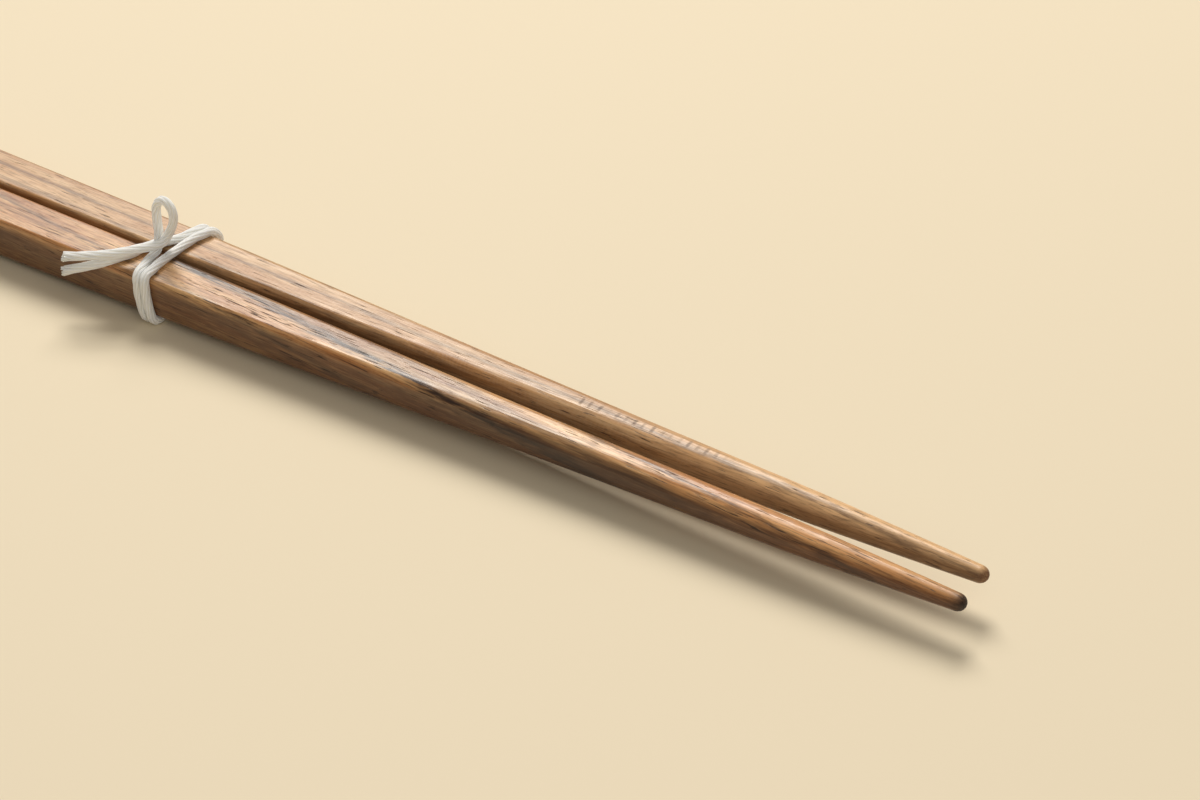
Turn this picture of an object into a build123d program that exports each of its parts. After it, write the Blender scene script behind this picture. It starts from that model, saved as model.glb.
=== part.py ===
import os
from math import atan, degrees, radians, tan

from build123d import *

# Driving dimensions in millimetres. X runs from the handles to the tips, Y from the near stick to
# the far one and Z up. The origin is on the table, midway along the pair and between the sticks.
stick_length = 230.0
handle_length = 86.0  # square part, with flat tapered faces
handle_side = 8.3  # square handle, at its end
shank_side = 6.91  # square section where the handle runs out
handle_corner = 0.65  # rounding of the handle's long edges
end_round = 0.5  # rounding of the cut handle end
tie_from_tip = 139.0  # where the cord crosses, from the tip
tie_spread = 7.96  # between the two axes at the cord
tip_spread = 6.6  # between the two axes at the tips

# Past the handle the square turns round: share of the way along the shank, corner radius as a
# share of the side there
corner_opening = [(0.25, 0.148), (0.5, 0.28), (0.75, 0.405)]
shank_belly = 0.06  # the shank's sides bow out this far midway
round_from_tip = 32.0  # fully round from here to the tip
round_diameter = 4.81
flat_fade = 16.0  # degrees of the round section that each flat fades into
tip_narrowing = [(27.0, 4.63), (22.0, 4.3), (14.0, 3.66), (7.0, 3.08)]  # from the tip, diameter there
tip_diameter = 2.56  # of the domed end
tip_dome = 1.36  # length of the dome
tip_taper = 2.8  # degrees that the taper leans to the axis where the dome starts

cord_diameter = 1.45  # across the corners of its section
cord_flat_count = 6  # the soft round cord is drawn with this many flats
cord_bite = 0.045  # how far the soft cord flattens against the wood
corner_cut = 0.75  # the cord's route cuts each wood corner this far from its point

handle_taper = (handle_side - shank_side) / handle_length
handle_from_tip = stick_length - handle_length
shank_run = handle_from_tip - round_from_tip
rest_from_tip = stick_length - end_round  # the rounded handle end touches the table here
near, far = -1, 1


def side_at(from_tip):
    """Width of a stick: a straight taper along the handle and a slightly full one past it."""
    if from_tip >= handle_from_tip:
        return shank_side + handle_taper * (from_tip - handle_from_tip)
    share = (handle_from_tip - from_tip) / shank_run
    return shank_side + (round_diameter - shank_side) * share + 4 * shank_belly * share * (1 - share)


tie_side = side_at(tie_from_tip)
cord_radius = cord_diameter / 2
cord_reach = cord_radius - cord_bite  # from a wood face to the cord's centre line
underside_at_tie = cord_radius + cord_reach  # the cord beneath holds the sticks up this far
tie_x = stick_length / 2 - tie_from_tip
tie_top = underside_at_tie + tie_side  # top faces of the sticks at the cord


def axis_point(from_tip, side):
    """Point on a stick's axis. The handle end rests on the table and the cord lifts the rest."""
    tie_height = underside_at_tie + tie_side / 2
    rise = (tie_height - side_at(rest_from_tip) / 2) / (rest_from_tip - tie_from_tip)
    spread = tip_spread + (tie_spread - tip_spread) * from_tip / tie_from_tip
    height = tie_height + rise * (tie_from_tip - from_tip)
    return Vector(stick_length / 2 - from_tip, side * spread / 2, height)


def section_plane(from_tip, side):
    """Plane square to a stick's axis, with its x across the stick and its y upwards."""
    along = (axis_point(0, side) - axis_point(stick_length, side)).normalized()
    across = Vector(-along.Y, along.X, 0)
    tip_plane = Plane(origin=axis_point(0, side), x_dir=across, z_dir=along)
    return tip_plane.offset(-from_tip)


def square_section(share, side, corner_share):
    """Square section with rounded corners, a share of the way along the shank."""
    from_tip = handle_from_tip - share * shank_run
    half = side_at(from_tip) / 2
    corner = corner_share * side_at(from_tip)
    flat = half - corner
    with BuildSketch(section_plane(from_tip, side)) as section:
        with BuildLine():
            for turn in range(0, 360, 90):
                Line(Vector(half, -flat).rotate(Axis.Z, turn), Vector(half, flat).rotate(Axis.Z, turn))
                CenterArc(Vector(flat, flat).rotate(Axis.Z, turn), corner, turn, 90)
        make_face()
    return section.sketch


def round_section(from_tip, side, diameter):
    """Round section, drawn as four fading flats and four corners so that the loft stays true."""
    with BuildSketch(section_plane(from_tip, side)) as section:
        with BuildLine():
            for turn in range(0, 360, 90):
                CenterArc((0, 0), diameter / 2, turn - flat_fade / 2, flat_fade)
                CenterArc((0, 0), diameter / 2, turn + flat_fade / 2, 90 - flat_fade)
        make_face()
    return section.sketch


def add_stick(side):
    """Square handle, square to round shank and domed tip of one stick, in the part being built."""
    # Tapered square handle with flat faces and softened edges
    with BuildSketch(section_plane(stick_length, side)) as handle_end:
        Rectangle(handle_side, handle_side)
    handle = extrude(handle_end.sketch, amount=handle_length, taper=degrees(atan(handle_taper / 2)))
    fillet(handle.edges().sort_by(SortBy.LENGTH)[-4:], handle_corner)
    fillet(faces().sort_by(Axis.X)[0].edges(), end_round)

    # Shank, whose corners open out until the section is round
    shank = [faces().sort_by(Axis.X)[-1]]
    shank += [square_section(share, side, corner_share) for share, corner_share in corner_opening]
    loft(shank + [round_section(round_from_tip, side, round_diameter)])

    # Quicker taper and domed end, turned about the stick's axis
    cross = section_plane(0, side)
    turned = Plane(origin=cross.origin, x_dir=-cross.z_dir, z_dir=cross.x_dir)
    dome_lean = degrees(atan(tan(radians(tip_taper)) * tip_dome / (tip_diameter / 2)))
    rounds = [(round_from_tip, round_diameter), *tip_narrowing]
    with BuildSketch(turned) as tip_profile:
        with BuildLine():
            dome = EllipticalCenterArc(
                (tip_dome, 0), tip_dome, tip_diameter / 2, 90 + dome_lean, arc_size=90 - dome_lean)
            taper = [(from_tip, diameter / 2) for from_tip, diameter in rounds]
            Polyline(dome @ 1, (round_from_tip, 0), *taper, dome @ 0)
        make_face()
    revolve(tip_profile.sketch, axis=Axis(cross.origin, cross.z_dir))


# Near chopstick
with BuildPart() as near_chopstick:
    add_stick(near)
near_chopstick.part.label = "near_chopstick"

# Far chopstick
with BuildPart() as far_chopstick:
    add_stick(far)
far_chopstick.part.label = "far_chopstick"

# Tie cord: one cotton cord from cut end to cut end. It goes round both sticks twice and is tied on
# top. Places are from the middle of the sticks' top faces at the cord.
cord_side = tie_spread / 2 + tie_side / 2 + cord_reach  # out to the cord on the sticks' outer faces
cord_under = cord_radius - tie_top  # down to the cord beneath the sticks
side_in = cord_side - corner_cut
top_in = cord_reach - corner_cut
under_in = cord_under + corner_cut

lower_tail = [(-11.3, -11.7, -0.7), (-9.2, -10.2, -0.2), (-6.9, -8.5, 0.35), (-5.2, -6.3, 0.74),
              (-4.1, -4.2, 0.72), (-3.5, -1.8, 0.74), (-2.6, 0.2, 0.72), (-1.2, 1.7, 0.74),
              (-0.3, 3.2, 0.72), (0.1, 5.1, cord_reach)]
first_far_side = [(0.7, side_in, cord_reach), (0.72, cord_side, top_in), (0.9, cord_side, -2.0),
                  (2.0, cord_side, -4.8), (2.25, cord_side, under_in), (2.25, side_in, cord_under)]
first_near_side = [(2.5, -side_in, cord_under), (2.4, -cord_side, under_in), (1.65, -cord_side, -3.4),
                   (1.6, -cord_side, top_in), (1.4, -side_in, cord_reach)]
over_top = [(1.0, -3.4, cord_reach), (1.25, 3.9, cord_reach)]
second_far_side = [(2.3, side_in, cord_reach), (2.4, 8.2, top_in), (2.25, 9.2, -1.7),
                   (1.45, 9.65, -3.4), (0.65, 9.2, -5.1), (0.55, 8.2, under_in),
                   (0.7, side_in, cord_under)]
second_near_side = [(1.0, -side_in, cord_under), (0.9, -cord_side, under_in), (0.15, -cord_side, -3.4),
                    (0.1, -cord_side, top_in), (-0.1, -side_in, cord_reach)]
standing_loop = [(-1.0, -3.4, cord_reach), (-1.15, -1.5, 0.75), (-1.6, -0.35, 1.9), (-1.7, -0.15, 3.2),
                 (-1.8, 0.0, 5.0), (-1.95, 0.05, 7.0), (-1.5, 0.1, 8.8), (-0.1, 0.1, 9.9),
                 (1.35, 0.1, 8.8), (1.65, 0.05, 7.0), (1.0, 0.0, 5.0), (0.15, -0.15, 3.4)]
upper_tail = [(-0.15, -1.3, 2.4), (-1.0, -2.8, 2.45), (-2.3, -4.3, 2.45), (-4.6, -6.95, 2.25),
              (-7.1, -8.55, 1.9), (-9.4, -9.75, 1.6), (-11.75, -10.9, 1.3)]

stretches = [lower_tail, first_far_side, first_near_side, over_top, second_far_side, second_near_side,
             standing_loop, upper_tail]
route = [Vector(tie_x + x, y, tie_top + z) for stretch in stretches for x, y, z in stretch]

# Each bend is as wide as the shorter of its two runs allows
bend_radii = []
for before, point, after in zip(route, route[1:], route[2:]):
    shorter_run = min((point - before).length, (after - point).length)
    turn = (point - before).get_angle(after - point)
    bend_radii.append(0.45 * shorter_run / tan(radians(turn) / 2))
print("cord bend radii", [round(radius, 2) for radius in bend_radii])

with BuildPart() as tie_cord:
    with BuildLine() as cord_line:
        FilletPolyline(*route, radius=bend_radii)
    with BuildSketch(Plane(origin=cord_line.line @ 0, z_dir=cord_line.line % 0)) as cord_section:
        RegularPolygon(cord_radius, cord_flat_count)
    sweep()
    cord_length = cord_line.wires()[0].length
    print("cord length", round(cord_length, 1), "volume", round(tie_cord.part.volume, 1),
          "section times length", round(cord_section.sketch.area * cord_length, 1))
    add(near_chopstick.part, mode=Mode.SUBTRACT)
    add(far_chopstick.part, mode=Mode.SUBTRACT)
tie_cord.part.label = "tie_cord"

os.makedirs("parts", exist_ok=True)
export_step(near_chopstick.part, "parts/near_chopstick.step")
export_step(far_chopstick.part, "parts/far_chopstick.step")
export_step(tie_cord.part, "parts/tie_cord.step")
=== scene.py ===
import math
import random

import bpy
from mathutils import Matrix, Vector


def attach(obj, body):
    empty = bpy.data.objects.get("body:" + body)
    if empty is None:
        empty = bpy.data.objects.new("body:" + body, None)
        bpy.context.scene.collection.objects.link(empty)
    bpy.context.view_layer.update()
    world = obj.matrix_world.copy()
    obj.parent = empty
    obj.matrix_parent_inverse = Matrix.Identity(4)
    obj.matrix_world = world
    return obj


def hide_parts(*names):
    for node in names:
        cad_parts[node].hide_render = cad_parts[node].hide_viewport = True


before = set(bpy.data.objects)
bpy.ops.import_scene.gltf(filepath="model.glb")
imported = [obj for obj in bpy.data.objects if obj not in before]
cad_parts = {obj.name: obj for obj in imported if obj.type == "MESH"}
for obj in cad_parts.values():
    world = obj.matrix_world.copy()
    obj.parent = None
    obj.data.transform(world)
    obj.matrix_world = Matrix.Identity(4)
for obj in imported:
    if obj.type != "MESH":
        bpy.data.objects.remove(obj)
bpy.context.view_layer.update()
mm = 0.001
print("frame loaded with nodes", sorted(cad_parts))


def toLinear(red, green, blue):  # 0 to 255 as seen on a screen, to the linear values that shaders take
    def channel(value):
        value = value / 255
        return value / 12.92 if value <= 0.04045 else ((value + 0.055) / 1.055) ** 2.4
    return (channel(red), channel(green), channel(blue), 1.0)


# small helpers for node trees: a number or colour is set on the socket, a socket is linked to it
def feed(tree, socket, value):
    if isinstance(value, bpy.types.NodeSocket):
        tree.links.new(value, socket)
    else:
        socket.default_value = value


def mathNode(tree, operation, first, second=0.0):
    node = tree.nodes.new("ShaderNodeMath")
    node.operation = operation
    feed(tree, node.inputs[0], first)
    feed(tree, node.inputs[1], second)
    return node.outputs[0]


def vectorNode(tree, operation, first, second):
    node = tree.nodes.new("ShaderNodeVectorMath")
    node.operation = operation
    feed(tree, node.inputs[0], first)
    feed(tree, node.inputs[3 if operation == "SCALE" else 1], second)
    return node.outputs["Value" if operation == "DOT_PRODUCT" else "Vector"]


def splitVector(tree, vector):
    node = tree.nodes.new("ShaderNodeSeparateXYZ")
    feed(tree, node.inputs[0], vector)
    return node.outputs


def joinVector(tree, x, y, z):
    node = tree.nodes.new("ShaderNodeCombineXYZ")
    for socket, value in zip(node.inputs, (x, y, z)):
        feed(tree, socket, value)
    return node.outputs[0]


def noiseNode(tree, vector, scale=1.0, detail=2.0, roughness=0.5):
    node = tree.nodes.new("ShaderNodeTexNoise")
    feed(tree, node.inputs["Vector"], vector)
    feed(tree, node.inputs["Scale"], scale)
    feed(tree, node.inputs["Detail"], detail)
    feed(tree, node.inputs["Roughness"], roughness)
    return node.outputs


def stretchedNoise(tree, place, stretch, detail=2.0, roughness=0.5):  # stretch is its rate on each axis
    return noiseNode(tree, vectorNode(tree, "MULTIPLY", place, stretch), 1.0, detail, roughness)["Fac"]


def smoothRange(tree, value, low, high, toLow=0.0, toHigh=1.0):
    node = tree.nodes.new("ShaderNodeMapRange")
    node.interpolation_type = "SMOOTHSTEP"
    for socket, item in zip(node.inputs[:5], (value, low, high, toLow, toHigh)):
        feed(tree, socket, item)
    return node.outputs[0]


def rampNode(tree, value, stops):  # stops are (place, grey)
    node = tree.nodes.new("ShaderNodeValToRGB")
    feed(tree, node.inputs[0], value)
    marks = node.color_ramp.elements
    while len(marks) < len(stops):
        marks.new(0.5)
    for mark, (place, grey) in zip(marks, stops):
        mark.position = place
        mark.color = (grey, grey, grey, 1.0)
    return node.outputs["Color"]


def mixNode(tree, factor, first, second):
    node = tree.nodes.new("ShaderNodeMix")
    node.data_type = "RGBA"
    feed(tree, node.inputs["Factor"], factor)
    feed(tree, node.inputs["A"], first)
    feed(tree, node.inputs["B"], second)
    return next(socket for socket in node.outputs if socket.type == "RGBA")


def bumpNode(tree, height, strength, distance):
    node = tree.nodes.new("ShaderNodeBump")
    node.inputs["Strength"].default_value = strength
    node.inputs["Distance"].default_value = distance
    feed(tree, node.inputs["Height"], height)
    return node.outputs["Normal"]


def newGroup(name, inputs, outputs):  # inputs are (name, socket type, default), outputs (name, socket type)
    tree = bpy.data.node_groups.new(name, "ShaderNodeTree")
    for label, kind, default in inputs:
        socket = tree.interface.new_socket(label, in_out="INPUT", socket_type=kind)
        if default is not None:
            socket.default_value = default
    for label, kind in outputs:
        tree.interface.new_socket(label, in_out="OUTPUT", socket_type=kind)
    return tree, tree.nodes.new("NodeGroupInput").outputs, tree.nodes.new("NodeGroupOutput").inputs


def placeGroup(tree, group, **values):  # keyword names are the group's input names without spaces
    node = tree.nodes.new("ShaderNodeGroup")
    node.node_tree = group
    for socket in node.inputs:
        key = socket.name.replace(" ", "")
        key = key[0].lower() + key[1:]
        if key in values:
            feed(tree, socket, values[key])
    return node.outputs


def newMaterial(name):
    material = bpy.data.materials.new(name)
    material.use_nodes = True
    tree = material.node_tree
    return material, tree, tree.nodes["Principled BSDF"]


# wood that both sticks share: all places in millimetres, X along the stick
floatSocket, vectorSocket = "NodeSocketFloat", "NodeSocketVector"
figure = {
    # how fast each noise changes per mm, along the stick and across it
    "sway": (0.035, 0.11, 0.11), "tone": (0.03, 0.42, 0.42), "fibre": (0.09, 2.4, 2.4),
    "flecks": (0.26, 4.4, 4.4), "dashes": (0.22, 4.4, 4.4), "porePatches": (0.06, 0.5, 0.5),
    "layerSway": (0.05, 0.16, 0.16), "layerCoarse": (0.10, 1.1, 1.1), "layerFine": (0.22, 2.6, 2.6),
    "rippleBend": (0.22, 0.35, 0.35), "ripplePatches": (0.16, 0.6, 0.6),
    "tickGaps": (0.45, 0.0, 0.0), "tickLengths": (1.1, 0.0, 0.0),
    # pores open where their noise passes this level, which density and patches bring down
    "poreLevel": 0.83, "poreByDensity": 0.2, "poreByPatch": 0.14, "poreEdge": 0.06,
    # mm that each noise shifts the growth layers
    "swayShift": 1.6, "coarseShift": 2.2, "fineShift": 2.6,
    # turns that the bending adds to the waves, and mm of the ticks' row
    "rippleTurns": 3.0, "tickTurns": 0.35, "tickFadeIn": 3.0, "tickFadeOut": 4.0, "tickHalf": (0.7, 1.5),
    "tickUneven": 0.9, "tickDepth": 0.7,
}


def makeFibreSpace():  # leans the grain against the stick's edges and lets it wander a little
    tree, given, made = newGroup(
        "fibreSpace",
        [("Place", vectorSocket, None), ("Lean Y", floatSocket, 0.0), ("Lean Z", floatSocket, 0.0),
         ("Wander", floatSocket, 0.3)],
        [("Fibre Place", vectorSocket)])
    x, y, z = splitVector(tree, given["Place"])
    leaned = joinVector(
        tree, x,
        mathNode(tree, "ADD", y, mathNode(tree, "MULTIPLY", x, given["Lean Y"])),
        mathNode(tree, "ADD", z, mathNode(tree, "MULTIPLY", x, given["Lean Z"])))
    sway = noiseNode(tree, vectorNode(tree, "MULTIPLY", leaned, figure["sway"]), 1.0, 3.0)
    centred = vectorNode(tree, "SUBTRACT", sway["Color"], (0.5, 0.5, 0.5))
    across = vectorNode(tree, "MULTIPLY", centred, (0.0, 2.0, 2.0))
    moved = vectorNode(tree, "SCALE", across, given["Wander"])
    tree.links.new(vectorNode(tree, "ADD", leaned, moved), made["Fibre Place"])
    return tree


def makeGrain():  # fine fibres, flecks, open pores and slow changes of tone
    tree, given, made = newGroup(
        "woodGrain",
        [("Fibre Place", vectorSocket, None), ("Pore Density", floatSocket, 0.5)],
        [("Tone", floatSocket), ("Fibre", floatSocket), ("Flecks", floatSocket), ("Pores", floatSocket)])
    place = given["Fibre Place"]
    tone = stretchedNoise(tree, place, figure["tone"], 4.0, 0.6)
    fibre = stretchedNoise(tree, place, figure["fibre"], 4.0, 0.65)
    flecks = stretchedNoise(tree, place, figure["flecks"], 3.0, 0.6)
    dashes = stretchedNoise(tree, place, figure["dashes"])
    patches = stretchedNoise(tree, place, figure["porePatches"])
    byDensity = mathNode(tree, "MULTIPLY", given["Pore Density"], figure["poreByDensity"])
    limit = mathNode(tree, "SUBTRACT", figure["poreLevel"], byDensity)
    limit = mathNode(tree, "SUBTRACT", limit, mathNode(tree, "MULTIPLY", patches, figure["poreByPatch"]))
    pores = smoothRange(tree, dashes, limit, mathNode(tree, "ADD", limit, figure["poreEdge"]))
    for label, socket in (("Tone", tone), ("Fibre", fibre), ("Flecks", flecks), ("Pores", pores)):
        tree.links.new(socket, made[label])
    return tree


def makeGrowthLayers():  # place across the growth layers, which slant and feather along the fibres
    tree, given, made = newGroup(
        "growthLayers",
        [("Place", vectorSocket, None), ("Fibre Place", vectorSocket, None), ("Slant", floatSocket, 0.1),
         ("Share Z", floatSocket, 0.5), ("Feather", floatSocket, 1.0)],
        [("Layer", floatSocket), ("Strength", floatSocket)])
    across = joinVector(tree, given["Slant"], 1.0, given["Share Z"])
    layer = vectorNode(tree, "DOT_PRODUCT", given["Place"], across)
    sway = stretchedNoise(tree, given["Place"], figure["layerSway"])
    coarse = stretchedNoise(tree, given["Fibre Place"], figure["layerCoarse"])
    fine = stretchedNoise(tree, given["Fibre Place"], figure["layerFine"], 3.0, 0.6)
    for noise, label in ((sway, "swayShift"), (coarse, "coarseShift"), (fine, "fineShift")):
        shift = mathNode(tree, "MULTIPLY", mathNode(tree, "SUBTRACT", noise, 0.5), figure[label])
        layer = mathNode(tree, "ADD", layer, mathNode(tree, "MULTIPLY", shift, given["Feather"]))
    tree.links.new(layer, made["Layer"])
    tree.links.new(smoothRange(tree, fine, 0.3, 0.56, 0.55, 1.0), made["Strength"])
    return tree


def makeRipple():  # figure that runs across the grain, and a row of short dark ticks on the top face
    tree, given, made = newGroup(
        "rippleFigure",
        [("Place", vectorSocket, None), ("Period", floatSocket, 0.7), ("Tick Period", floatSocket, 1.2),
         ("From X", floatSocket, 0.0), ("To X", floatSocket, 50.0), ("Middle Y", floatSocket, 0.0),
         ("Top Z", floatSocket, 8.0)],
        [("Ripple", floatSocket), ("Ticks", floatSocket)])
    x, y, z = splitVector(tree, given["Place"])
    bend = stretchedNoise(tree, given["Place"], figure["rippleBend"])

    def crossWave(period, bendTurns):  # from 0 to 1 and back in each period
        bent = mathNode(tree, "MULTIPLY", bend, bendTurns)
        turns = mathNode(tree, "ADD", mathNode(tree, "DIVIDE", x, period), bent)
        wave = mathNode(tree, "SINE", mathNode(tree, "MULTIPLY", turns, 2 * math.pi))
        return mathNode(tree, "ADD", mathNode(tree, "MULTIPLY", wave, 0.5), 0.5)

    patches = stretchedNoise(tree, given["Place"], figure["ripplePatches"])
    ripple = mathNode(tree, "MULTIPLY", crossWave(given["Period"], figure["rippleTurns"]),
                      smoothRange(tree, patches, 0.34, 0.6))
    gaps = stretchedNoise(tree, given["Place"], figure["tickGaps"], 1.0)
    lengths = stretchedNoise(tree, given["Place"], figure["tickLengths"], 1.0)
    aside = mathNode(tree, "ABSOLUTE", mathNode(tree, "SUBTRACT", y, given["Middle Y"]))
    aside = mathNode(tree, "ADD", aside, mathNode(tree, "MULTIPLY", lengths, figure["tickUneven"]))
    strokes = smoothRange(tree, crossWave(given["Tick Period"], figure["tickTurns"]), 0.5, 1.0)
    ticks = mathNode(tree, "MULTIPLY", strokes, smoothRange(tree, gaps, 0.36, 0.6, 0.15, 1.0))
    rowStart = mathNode(tree, "SUBTRACT", given["From X"], figure["tickFadeIn"])
    rowEnd = mathNode(tree, "ADD", given["To X"], figure["tickFadeOut"])
    lowest = mathNode(tree, "SUBTRACT", given["Top Z"], figure["tickDepth"])
    for mask in (
            smoothRange(tree, x, rowStart, given["From X"]),
            smoothRange(tree, x, given["To X"], rowEnd, 1.0, 0.0),
            smoothRange(tree, aside, *figure["tickHalf"], 1.0, 0.0),
            smoothRange(tree, z, lowest, given["Top Z"])):
        ticks = mathNode(tree, "MULTIPLY", ticks, mask)
    tree.links.new(ripple, made["Ripple"])
    tree.links.new(ticks, made["Ticks"])
    return tree


fibreSpace = makeFibreSpace()
woodGrain = makeGrain()
growthLayers = makeGrowthLayers()
rippleFigure = makeRipple()
print("shared wood groups made:", [group.name for group in bpy.data.node_groups])

nearWood = {
    "light": toLinear(240, 194, 136), "mid": toLinear(172, 110, 56), "vein": toLinear(48, 29, 20),
    "pore": toLinear(36, 24, 18), "fleck": toLinear(228, 176, 114), "darkFleck": toLinear(74, 41, 20),
    "end": toLinear(24, 14, 10), "heart": toLinear(78, 39, 13), "pale": toLinear(230, 162, 100),
    # painted shade on the lower sides: its colour is on the line above, its height and tints on this line
    "heartTop": 7.8, "heartTint": 0.8, "tipHeartTint": 0.9, "deepTint": 0.5, "paleTint": 0.45,
    "leanY": 0.015, "leanZ": 0.03, "wander": 0.35, "slant": 0.1, "shareZ": 0.65, "feather": 0.8,
    "poreDensity": 0.66,
    "layers": [  # place across the growth layers in mm, darkness of the wood there
        (-16.8, 0.1), (-13.3, 0.4), (-12.8, 0.06), (-8.8, 0.35), (-8.1, 0.06), (-5.2, 0.03), (-4, 0.4),
        (-3.4, 0.06), (-2.7, 0.7), (-2, 0.08), (1, 0.03), (1.6, 0.5), (2, 0.95), (2.6, 1.0), (3.2, 0.5),
        (4.2, 0.35), (4.7, 0.55), (5.6, 0.45), (6.3, 0.04), (7.7, 0.0), (8.4, 0.8), (8.9, 0.0),
        (11.7, 0.06), (15.2, 0.1)],
    "tipX": 115.0, "endRun": 2.8, "roughness": 0.36, "shine": 0.65, "ripplePeriod": 0.8, "rippleTint": 0.06,
    "tickPeriod": 1.2, "tickFrom": -40.0, "tickTo": -20.0, "tickY": -3.6, "topZ": 8.05,
    "tickTint": 0.0,  # no ticks show on this stick
}
farWood = {
    "light": toLinear(220, 180, 132), "mid": toLinear(188, 136, 84), "vein": toLinear(66, 45, 34),
    "pore": toLinear(44, 29, 22), "fleck": toLinear(232, 188, 132), "darkFleck": toLinear(96, 58, 32),
    "end": toLinear(112, 74, 46), "heart": toLinear(104, 60, 28), "pale": toLinear(248, 200, 144),
    # painted shade on the lower sides, faint along the shank and stronger near the tip: its colour is on the line
    # above, its height and tints here
    "heartTop": 7.7, "heartTint": 0.1, "tipHeartTint": 0.6, "deepTint": 0.0, "paleTint": 0.85,
    "leanY": 0.01, "leanZ": -0.02, "wander": 0.35, "slant": 0.012, "shareZ": -0.25, "feather": 0.5,
    "poreDensity": 0.5,
    "layers": [
        (-10, 0.1), (-4, 0.12), (-2.4, 0.35), (-1.6, 0.08), (-0.9, 0.55), (-0.3, 0.08), (1.2, 0.06),
        (1.9, 0.65), (2.6, 0.08), (4.2, 0.1), (5.4, 0.4), (6, 0.06), (10, 0.1)],
    "tipX": 115.0, "endRun": 1.6, "roughness": 0.38, "shine": 0.6, "ripplePeriod": 0.7, "rippleTint": 0.13,
    "tickPeriod": 1.5, "tickFrom": 50.0, "tickTo": 72.0, "tickY": 3.5, "topZ": 8.05, "tickTint": 0.52,
}
finish = {  # how the grain is turned into colour and surface, the same on both sticks
    "fibreTint": 0.6, "ripple": (0.75, 0.52, 0.34, 1.0), "fleckTint": 0.26, "darkFleckTint": 0.4, "poreTint": 0.8,
    "paleRun": (70.0, 20.0), "tipRun": (50.0, 20.0), "liftRun": (45.0, 5.0),  # mm before the tip
    # the streak, below, above and fleck settings on the next line shape the painted shade on the lower sides
    "tipLift": 0.4, "heartStreak": 1.6, "heartBelow": 0.6, "heartAbove": 0.9, "heartFleck": 0.86,
    "deepStart": (12.0, 36.0), "deepEnd": (60.0, 84.0),  # mm along X
    "endStreak": 3.0, "endPast": 0.2, "endTint": 0.96, "glossier": 0.05, "duller": 0.08, "poreDulling": 0.25,
    "fibreHeight": 0.5, "fleckDepth": 0.5, "bumpStrength": 0.38, "bumpDepth": 0.00007, "ior": 1.5,
}


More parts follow.
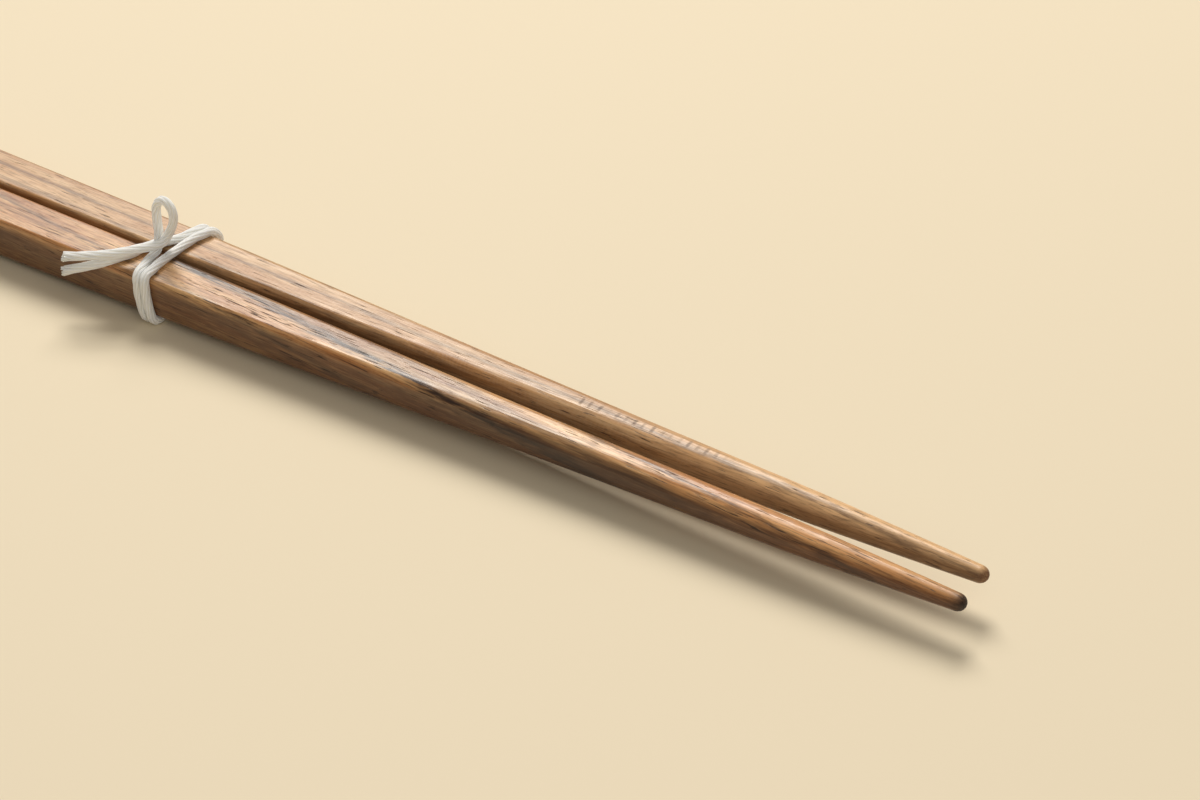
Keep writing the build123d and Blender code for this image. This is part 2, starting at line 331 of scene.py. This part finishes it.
def makeWood(name, look):
    material, tree, shader = newMaterial(name)
    coordinates = tree.nodes.new("ShaderNodeTexCoord")
    place = vectorNode(tree, "SCALE", coordinates.outputs["Object"], 1 / mm)
    x, _, z = splitVector(tree, place)
    fibrePlace = placeGroup(
        tree, fibreSpace, place=place, leanY=look["leanY"], leanZ=look["leanZ"], wander=look["wander"])[0]
    grain = placeGroup(tree, woodGrain, fibrePlace=fibrePlace, poreDensity=look["poreDensity"])
    layers = placeGroup(
        tree, growthLayers, place=place, fibrePlace=fibrePlace, slant=look["slant"], shareZ=look["shareZ"],
        feather=look["feather"])
    ripple = placeGroup(
        tree, rippleFigure, place=place, period=look["ripplePeriod"], tickPeriod=look["tickPeriod"],
        fromX=look["tickFrom"], toX=look["tickTo"], middleY=look["tickY"], topZ=look["topZ"])
    low, high = look["layers"][0][0], look["layers"][-1][0]
    share = mathNode(tree, "DIVIDE", mathNode(tree, "SUBTRACT", layers["Layer"], low), high - low)
    bands = rampNode(tree, share, [((at - low) / (high - low), dark) for at, dark in look["layers"]])
    darkness = mathNode(tree, "MULTIPLY", bands, layers["Strength"])

    def nearTip(run, fromValue, toValue):  # changes over a run of mm before the tip
        before, after = finish[run]
        return smoothRange(tree, x, look["tipX"] - before, look["tipX"] - after, fromValue, toValue)

    # light wood with fibres, ripples and light flecks, paler towards the tip
    colour = mixNode(tree, smoothRange(tree, grain["Tone"], 0.32, 0.68), look["light"], look["mid"])
    fibres = smoothRange(tree, grain["Fibre"], 0.42, 0.64, 0.0, finish["fibreTint"])
    colour = mixNode(tree, fibres, colour, look["mid"])
    rippled = mathNode(tree, "MULTIPLY", ripple["Ripple"], look["rippleTint"])
    colour = mixNode(tree, rippled, colour, finish["ripple"])
    flecks = smoothRange(tree, grain["Flecks"], 0.32, 0.47, finish["fleckTint"], 0.0)
    colour = mixNode(tree, flecks, colour, look["fleck"])
    colour = mixNode(tree, nearTip("paleRun", 0.0, look["paleTint"]), colour, look["pale"])

    # painted shade: the sides below a streaky height are darkened, as the lamps behind leave them in shade; it
    # changes towards the tip and is deepest along the middle of the shank
    streaky = mathNode(tree, "ADD", z, mathNode(tree, "MULTIPLY", grain["Fibre"], finish["heartStreak"]))
    streaky = mathNode(tree, "ADD", streaky, nearTip("liftRun", 0.0, finish["tipLift"]))
    heart = smoothRange(
        tree, streaky, look["heartTop"] - finish["heartBelow"], look["heartTop"] + finish["heartAbove"],
        nearTip("tipRun", look["heartTint"], look["tipHeartTint"]), 0.0)
    fleckedPaintedShade = smoothRange(tree, grain["Flecks"], 0.34, 0.5, finish["heartFleck"], 1.0)
    heart = mathNode(tree, "MULTIPLY", heart, fleckedPaintedShade)
    colour = mixNode(tree, heart, colour, look["heart"])
    deep = smoothRange(tree, x, *finish["deepStart"], 0.0, look["deepTint"])
    deep = mathNode(tree, "MULTIPLY", deep, smoothRange(tree, x, *finish["deepEnd"], 1.0, 0.0))
    colour = mixNode(tree, mathNode(tree, "MULTIPLY", heart, deep), colour, look["vein"])

    # dark growth layers, flecks, ticks, pores and the end of the tip
    colour = mixNode(tree, darkness, colour, look["vein"])
    darkFlecks = smoothRange(tree, grain["Flecks"], 0.49, 0.64, 0.0, finish["darkFleckTint"])
    colour = mixNode(tree, darkFlecks, colour, look["darkFleck"])
    ticks = mathNode(tree, "MULTIPLY", ripple["Ticks"], look["tickTint"])
    colour = mixNode(tree, ticks, colour, look["vein"])
    colour = mixNode(tree, mathNode(tree, "MULTIPLY", grain["Pores"], finish["poreTint"]), colour, look["pore"])
    streak = mathNode(tree, "MULTIPLY", mathNode(tree, "SUBTRACT", grain["Fibre"], 0.5), finish["endStreak"])
    ended = smoothRange(
        tree, mathNode(tree, "ADD", x, streak), look["tipX"] - look["endRun"], look["tipX"] + finish["endPast"],
        0.0, finish["endTint"])
    colour = mixNode(tree, ended, colour, look["end"])
    tree.links.new(colour, shader.inputs["Base Color"])

    gloss = smoothRange(tree, grain["Flecks"], 0.3, 0.7, look["roughness"] - finish["glossier"],
                        look["roughness"] + finish["duller"])
    dull = mathNode(tree, "ADD", mathNode(tree, "MAXIMUM", grain["Pores"], ticks), ended)
    gloss = mathNode(tree, "ADD", gloss, mathNode(tree, "MULTIPLY", dull, finish["poreDulling"]))
    tree.links.new(gloss, shader.inputs["Roughness"])
    raised = mathNode(tree, "ADD", grain["Fibre"], rippled)
    sunk = mathNode(tree, "MULTIPLY", grain["Flecks"], finish["fleckDepth"])
    sunk = mathNode(tree, "ADD", grain["Pores"], sunk)
    height = mathNode(tree, "SUBTRACT", mathNode(tree, "MULTIPLY", raised, finish["fibreHeight"]), sunk)
    normal = bumpNode(tree, height, finish["bumpStrength"], finish["bumpDepth"])
    tree.links.new(normal, shader.inputs["Normal"])
    shader.inputs["IOR"].default_value = finish["ior"]
    shader.inputs["Specular IOR Level"].default_value = look["shine"]
    return material


for nodeName, look, label in (
        ("near_chopstick", nearWood, "streakedWood"), ("far_chopstick", farWood, "evenWood")):
    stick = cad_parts[nodeName]
    stick.data.materials.clear()
    stick.data.materials.append(makeWood(label, look))
print("wood laid on both sticks")

# tie cord: its route is given in millimetres from the middle of the sticks' top faces at the cord
cord = {
    "diameter": 1.45, "length": 143.8, "bite": 0.045, "cornerCut": 0.75, "cornerLead": 1.06,
    "tieX": -24.0, "stickSide": 6.826, "spread": 7.96,
    "plies": 7, "ridgeSteps": 8, "plyOverlap": 1.12, "plySag": 0.06, "sagRate": 0.8, "ringStep": 0.3,
    "twistPitch": 20.0, "fullness": 1.04, "capBulge": 0.4, "seed": 7,
    # cut ends
    "frayRun": 2.4, "endFlare": 0.12, "endSplit": 0.4, "endRagged": 0.35, "endThreads": 9,
    "threadRadius": 0.09, "threadSides": 6, "threadPlace": (0.3, 0.95), "threadSwing": 0.5,
    "threadSpread": (0.05, 0.3), "threadLonger": (0.1, 0.6), "threadThickness": (0.8, 1.2),
    "threadStart": 0.82, "threadCurve": 1.8,
    # cotton; the groove colour is painted shade in the grooves between the plies
    "colour": toLinear(253, 255, 254), "shade": toLinear(248, 249, 245), "groove": toLinear(234, 230, 217),
    "fibreAlong": 0.5, "fibreAround": 46.0, "patchScale": 420.0, "patchTint": 0.35, "grooveTint": 0.8,
    "bumpStrength": 0.4, "bumpDepth": 0.0001, "roughness": 0.88, "shine": 0.25, "sheen": 0.6,
    "sheenRoughness": 0.5, "softness": 0.7, "scatter": 0.0013, "scatterTint": (1.0, 0.98, 0.94),
}
cordRadius = cord["diameter"] / 2
reach = cordRadius - cord["bite"]
tieTop = cordRadius + reach + cord["stickSide"]
outer = cord["spread"] / 2 + cord["stickSide"] / 2 + reach
under = cordRadius - tieTop
sideIn = outer - cord["cornerCut"]
topIn = reach - cord["cornerCut"]
underIn = under + cord["cornerCut"]
lead = cord["cornerLead"]

cordRoute = [
    # lower tail, in to the foot of the loop and on to the far edge
    (-11.3, -11.7, -0.7), (-9.2, -10.2, -0.2), (-6.9, -8.5, 0.35), (-5.2, -6.3, 0.74), (-4.1, -4.2, 0.72),
    (-3.5, -1.8, 0.74), (-2.6, 0.2, 0.72), (-1.2, 1.7, 0.74), (-0.3, 3.2, 0.72), (0.1, 5.1, reach),
    # first turn: down the far side, under both sticks and up the near side
    (0.7, sideIn, reach), (0.72, outer, topIn), (0.9, outer, -2.0), (2.0, outer, -4.8), (2.25, outer, underIn),
    (2.25, sideIn, under), (2.27, sideIn - lead, under), (2.48, lead - sideIn, under), (2.5, -sideIn, under),
    (2.4, -outer, underIn), (2.1, -outer, underIn + lead), (1.65, -outer, -3.4), (1.62, -outer, topIn - lead),
    (1.6, -outer, topIn), (1.4, -sideIn, reach), (1.3, lead - sideIn, reach),
    # straight over the top
    (1.0, -3.4, reach), (1.25, 3.9, reach),
    # second turn, outside the first where they cross on the far side
    (2.0, sideIn - lead, reach), (2.3, sideIn, reach), (2.4, 8.2, topIn), (2.25, 9.2, -1.7), (1.45, 9.65, -3.4),
    (0.65, 9.2, -5.1), (0.55, 8.2, underIn), (0.7, sideIn, under), (0.72, sideIn - lead, under),
    (0.98, lead - sideIn, under), (1.0, -sideIn, under), (0.9, -outer, underIn), (0.6, -outer, underIn + lead),
    (0.15, -outer, -3.4), (0.12, -outer, topIn - lead), (0.1, -outer, topIn), (-0.1, -sideIn, reach),
    (-0.3, lead - sideIn, reach),
    # standing loop
    (-1.0, -3.4, reach), (-1.15, -1.5, 0.75), (-1.6, -0.35, 1.9), (-1.7, -0.15, 3.2), (-1.8, 0.0, 5.0),
    (-1.95, 0.05, 7.0), (-1.5, 0.1, 8.8), (-0.1, 0.1, 9.9), (1.35, 0.1, 8.8), (1.65, 0.05, 7.0),
    (1.0, 0.0, 5.0), (0.15, -0.15, 3.4),
    # upper tail
    (-0.15, -1.3, 2.4), (-1.0, -2.8, 2.45), (-2.3, -4.3, 2.45), (-4.6, -6.95, 2.25), (-7.1, -8.55, 1.9),
    (-9.4, -9.75, 1.6), (-11.75, -10.9, 1.3),
]


def splineLine(route):  # the smooth line of the cord, read from a spline with the route as its control points
    data = bpy.data.curves.new("tieCordLine", "CURVE")
    data.dimensions = "3D"
    spline = data.splines.new("NURBS")
    spline.points.add(len(route) - 1)
    for point, (x, y, z) in zip(spline.points, route):
        point.co = ((cord["tieX"] + x) * mm, y * mm, (tieTop + z) * mm, 1.0)
    spline.order_u = 3
    spline.use_endpoint_u = True
    spline.resolution_u = 14
    holder = bpy.data.objects.new("tieCordLine", data)
    bpy.context.scene.collection.objects.link(holder)
    bpy.context.view_layer.update()
    mesh = bpy.data.meshes.new_from_object(holder.evaluated_get(bpy.context.evaluated_depsgraph_get()))
    points = [vertex.co.copy() for vertex in mesh.vertices]
    bpy.data.meshes.remove(mesh)
    bpy.data.objects.remove(holder)
    bpy.data.curves.remove(data)
    return points


def evenSteps(points, step):  # the same line with points a step apart
    lengths = [0.0]
    for before, after in zip(points, points[1:]):
        lengths.append(lengths[-1] + (after - before).length)
    count = max(2, round(lengths[-1] / step))
    spaced, place = [], 0
    for index in range(count + 1):
        want = lengths[-1] * index / count
        while place < len(points) - 2 and lengths[place + 1] < want:
            place += 1
        run = max(lengths[place + 1] - lengths[place], 1e-12)
        spaced.append(points[place].lerp(points[place + 1], min(1.0, (want - lengths[place]) / run)))
    return spaced


def carriedFrames(points):  # two directions square to the line at each point, with no twist of their own
    frames = []
    side = None
    for index in range(len(points)):
        ahead = (points[min(index + 1, len(points) - 1)] - points[max(index - 1, 0)]).normalized()
        if side is None:
            side = ahead.orthogonal().normalized()
        side = (side - ahead * side.dot(ahead)).normalized()
        frames.append((side.copy(), ahead.cross(side)))
    return frames


def addSkin(verts, faces, uvs, points, rings, band):  # closed skin over rings; uv is mm along, turns round
    first, sides = len(verts), len(rings[0])
    rows = [0.0]
    for before, after in zip(points, points[1:]):
        rows.append(rows[-1] + (after - before).length / mm)
    for ring in rings:
        verts.extend(ring)
    for index in range(len(rings) - 1):
        row, nextRow = first + index * sides, first + (index + 1) * sides
        start, stop = rows[index], rows[index + 1]
        for corner in range(sides):
            after = (corner + 1) % sides
            faces.append((row + corner, row + after, nextRow + after, nextRow + corner))
            left, right = band + corner / sides, band + (corner + 1) / sides
            uvs.append(((start, left), (start, right), (stop, right), (stop, left)))
    for end, order in ((0, range(sides - 1, -1, -1)), (len(rings) - 1, range(sides))):
        beyond = points[end] - points[end + (1 if end == 0 else -1)]
        size = (rings[end][0] - points[end]).length
        verts.append(points[end] + beyond.normalized() * size * cord["capBulge"])
        ring = [first + end * sides + corner for corner in order]
        for one, two in zip(ring, ring[1:] + ring[:1]):
            faces.append((one, two, len(verts) - 1))
            uvs.append(((rows[end], band), (rows[end], band + 1 / sides), (rows[end], band)))


def addCordBody(verts, faces, uvs, points, dice):  # plies show as twisted ridges on one closed body
    plies, steps = cord["plies"], cord["ridgeSteps"]
    frames = carriedFrames(points)
    step = (points[1] - points[0]).length / mm
    total = step * (len(points) - 1)
    plyShare = math.sin(math.pi / plies) * cord["plyOverlap"]
    ringRadius = cordRadius * cord["fullness"] / (1 + plyShare)
    plyRadius = ringRadius * plyShare
    phases = [dice.uniform(0, 6.28) for ply in range(plies)]  # radians, so that the plies sag in turn
    lags = [[dice.uniform(-1, 1) * cord["endRagged"] for ply in range(plies)] for end in range(2)]
    rings = []
    for index, point in enumerate(points):
        at = index * step
        loose = max(0.0, 1 - min(at, total - at) / cord["frayRun"]) ** 2
        nearestEnd = 1 if at > total / 2 else 0
        side, up = frames[index]
        ahead = side.cross(up)
        ring = []
        for ply in range(plies):
            sag = 1 - cord["plySag"] * (0.5 + 0.5 * math.sin(at * cord["sagRate"] + phases[ply]))
            shift = lags[nearestEnd][ply] * loose
            for part in range(steps):
                aside = 2 * part / steps - 1
                lean = math.pi / plies * aside
                bulge = max(0, plyRadius ** 2 - (ringRadius * math.sin(lean)) ** 2)
                out = ringRadius * math.cos(lean) + math.sqrt(bulge)
                flare = cord["endFlare"] - cord["endSplit"] * aside ** 2  # the plies part at a cut end
                out *= sag * (1 + loose * flare)
                angle = 2 * math.pi * (ply / plies + at / cord["twistPitch"]) + lean
                place = (side * math.cos(angle) + up * math.sin(angle)) * out + ahead * shift
                ring.append(point + place * mm)
        rings.append(ring)
    addSkin(verts, faces, uvs, points, rings, 0)


def addLooseEnd(verts, faces, uvs, points, dice):  # threads that open out of a cut end, where the points stop
    frames = carriedFrames(points)
    step = (points[1] - points[0]).length
    count = int(cord["frayRun"] * mm / step)
    first = len(points) - 1 - count
    sides = cord["threadSides"]
    for thread in range(cord["endThreads"]):
        angle = dice.uniform(0, 2 * math.pi)
        away = cordRadius * math.sqrt(dice.uniform(*cord["threadPlace"]))
        spread = 1 + dice.uniform(*cord["threadSpread"])
        swing = dice.uniform(-cord["threadSwing"], cord["threadSwing"])
        longer = dice.uniform(*cord["threadLonger"]) * mm
        thick = cord["threadRadius"] * dice.uniform(*cord["threadThickness"]) * mm
        line = []
        for index in range(count + 1):
            share = index / count
            side, up = frames[first + index]
            turn = angle + swing * share * share
            opened = cord["threadStart"] + (spread - cord["threadStart"]) * share ** cord["threadCurve"]
            out = away * opened * mm
            line.append(points[first + index] + (side * math.cos(turn) + up * math.sin(turn)) * out)
        line.append(line[-1] + (line[-1] - line[-2]).normalized() * longer)
        rings = []
        for point, (side, up) in zip(line, carriedFrames(line)):
            turns = [2 * math.pi * corner / sides for corner in range(sides)]
            rings.append([point + (side * math.cos(turn) + up * math.sin(turn)) * thick for turn in turns])
        addSkin(verts, faces, uvs, line, rings, thread + 1)


def addPiece(name, verts, faces, uvs):
    mesh = bpy.data.meshes.new(name)
    mesh.from_pydata(verts, [], faces)
    layer = mesh.uv_layers.new(name="plyMap")
    for polygon, corners in zip(mesh.polygons, uvs):
        polygon.use_smooth = True
        for loop, uv in zip(polygon.loop_indices, corners):
            layer.data[loop].uv = uv
    mesh.update()
    piece = bpy.data.objects.new(name, mesh)
    bpy.context.scene.collection.objects.link(piece)
    print(name, "made with", len(faces), "faces")
    return piece


def buildCord():  # the threads are a piece of their own, because light scatters inside the closed body
    dice = random.Random(cord["seed"])
    points = evenSteps(splineLine(cordRoute), cord["ringStep"] * mm)
    verts, faces, uvs = [], [], []
    addCordBody(verts, faces, uvs, points, dice)
    body = addPiece("tieCord", verts, faces, uvs)
    verts, faces, uvs = [], [], []
    addLooseEnd(verts, faces, uvs, points, dice)
    addLooseEnd(verts, faces, uvs, points[::-1], dice)
    return body, addPiece("cordEnds", verts, faces, uvs), points


def makeCotton(name, softness):
    material, tree, shader = newMaterial(name)
    spread = tree.nodes.new("ShaderNodeUVMap")
    spread.uv_map = "plyMap"
    along, around, _ = splitVector(tree, spread.outputs[0])
    fibrePlace = joinVector(
        tree, mathNode(tree, "MULTIPLY", along, cord["fibreAlong"]),
        mathNode(tree, "MULTIPLY", around, cord["fibreAround"]), 0.0)
    fibre = noiseNode(tree, fibrePlace, 1.0, 4.0, 0.6)["Fac"]
    coordinates = tree.nodes.new("ShaderNodeTexCoord")
    patches = noiseNode(tree, coordinates.outputs["Object"], cord["patchScale"], 3.0, 0.55)["Fac"]
    colour = mixNode(tree, smoothRange(tree, fibre, 0.35, 0.75), cord["colour"], cord["shade"])
    colour = mixNode(tree, smoothRange(tree, patches, 0.45, 0.8, 0.0, cord["patchTint"]), colour, cord["shade"])
    # painted shade: the cotton is darkened in the grooves between the plies
    ridge = mathNode(tree, "SINE", mathNode(tree, "MULTIPLY", around, math.pi * cord["plies"]))
    paintedGrooveShade = smoothRange(tree, mathNode(tree, "ABSOLUTE", ridge), 0.05, 0.55, cord["grooveTint"], 0.0)
    colour = mixNode(tree, paintedGrooveShade, colour, cord["groove"])
    tree.links.new(colour, shader.inputs["Base Color"])
    normal = bumpNode(tree, fibre, cord["bumpStrength"], cord["bumpDepth"])
    tree.links.new(normal, shader.inputs["Normal"])
    shader.inputs["Roughness"].default_value = cord["roughness"]
    shader.inputs["Specular IOR Level"].default_value = cord["shine"]
    shader.inputs["Sheen Weight"].default_value = cord["sheen"]
    shader.inputs["Sheen Roughness"].default_value = cord["sheenRoughness"]
    shader.inputs["Subsurface Weight"].default_value = softness
    shader.inputs["Subsurface Radius"].default_value = cord["scatterTint"]
    shader.inputs["Subsurface Scale"].default_value = cord["scatter"]
    return material


tieCord, cordEnds, tieLine = buildCord()
tieCord.data.materials.append(makeCotton("cottonCord", cord["softness"]))
cordEnds.data.materials.append(makeCotton("cottonEnds", 0.0))
for piece in (tieCord, cordEnds):
    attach(piece, "root")
    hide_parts("tie_cord")

# floor, light and camera
studio = {
    "floor": toLinear(236, 221, 192), "floorSize": 3.0, "floorRoughness": 0.7,
    "sky": (1.0, 0.96, 0.89, 1.0), "skyLevel": 0.17,
    "lens": 84.0, "sensorWidth": 36.0, "clipStart": 0.01,
    "cameraAt": (0.22190, -0.26150, 0.25976), "lookAt": (0.04614, 0.01367, 0.0),
    "lampAway": 1.8, "lampTint": (1.0, 0.965, 0.905),
    "lamps": [
        # name, width and height in m, degrees above the floor and left of the view, watts, seen in reflections
        ("windowLight", 0.72, 0.62, 54.0, 6.0, 19.5, True),
        ("lowWindowLight", 1.00, 0.36, 41.0, 3.0, 10.2, True),
        ("roomFill", 2.40, 1.80, 48.0, 200.0, 9.5, False)],
}


def makeFloor():
    half = studio["floorSize"] / 2
    corners = [(-half, -half, 0), (half, -half, 0), (half, half, 0), (-half, half, 0)]
    mesh = bpy.data.meshes.new("floor")
    mesh.from_pydata(corners, [], [(0, 1, 2, 3)])
    floor = bpy.data.objects.new("floor", mesh)
    bpy.context.scene.collection.objects.link(floor)
    material, _, shader = newMaterial("paleFloor")
    shader.inputs["Base Color"].default_value = studio["floor"]
    shader.inputs["Roughness"].default_value = studio["floorRoughness"]
    mesh.materials.append(material)


def makeLight():
    world = bpy.data.worlds.new("softRoom")
    world.use_nodes = True
    sky = world.node_tree.nodes["Background"]
    sky.inputs["Color"].default_value = studio["sky"]
    sky.inputs["Strength"].default_value = studio["skyLevel"]
    bpy.context.scene.world = world
    target = Vector(studio["lookAt"])
    ahead = target - Vector(studio["cameraAt"])
    for name, across, tall, height, left, power, reflected in studio["lamps"]:
        bearing = math.atan2(ahead.y, ahead.x) + math.radians(left)
        rise = math.radians(height)
        level = math.cos(rise)
        away = Vector((math.cos(bearing) * level, math.sin(bearing) * level, math.sin(rise)))
        data = bpy.data.lights.new(name, "AREA")
        data.shape = "RECTANGLE"
        data.size = across
        data.size_y = tall
        data.energy = power
        data.color = studio["lampTint"]
        lamp = bpy.data.objects.new(name, data)
        lamp.location = target + away * studio["lampAway"]
        lamp.visible_glossy = reflected
        lamp.rotation_mode = "QUATERNION"
        lamp.rotation_quaternion = away.to_track_quat("Z", "Y")
        bpy.context.scene.collection.objects.link(lamp)


def makeCamera():
    data = bpy.data.cameras.new("photoCamera")
    data.lens = studio["lens"]
    data.sensor_width = studio["sensorWidth"]
    data.clip_start = studio["clipStart"]
    camera = bpy.data.objects.new("photoCamera", data)
    camera.location = studio["cameraAt"]
    camera.rotation_mode = "QUATERNION"
    camera.rotation_quaternion = (Vector(studio["lookAt"]) - camera.location).to_track_quat("-Z", "Y")
    bpy.context.scene.collection.objects.link(camera)
    bpy.context.scene.camera = camera


makeFloor()
makeLight()
makeCamera()
bpy.context.scene.view_settings.view_transform = "Standard"
print("floor, light and camera placed")
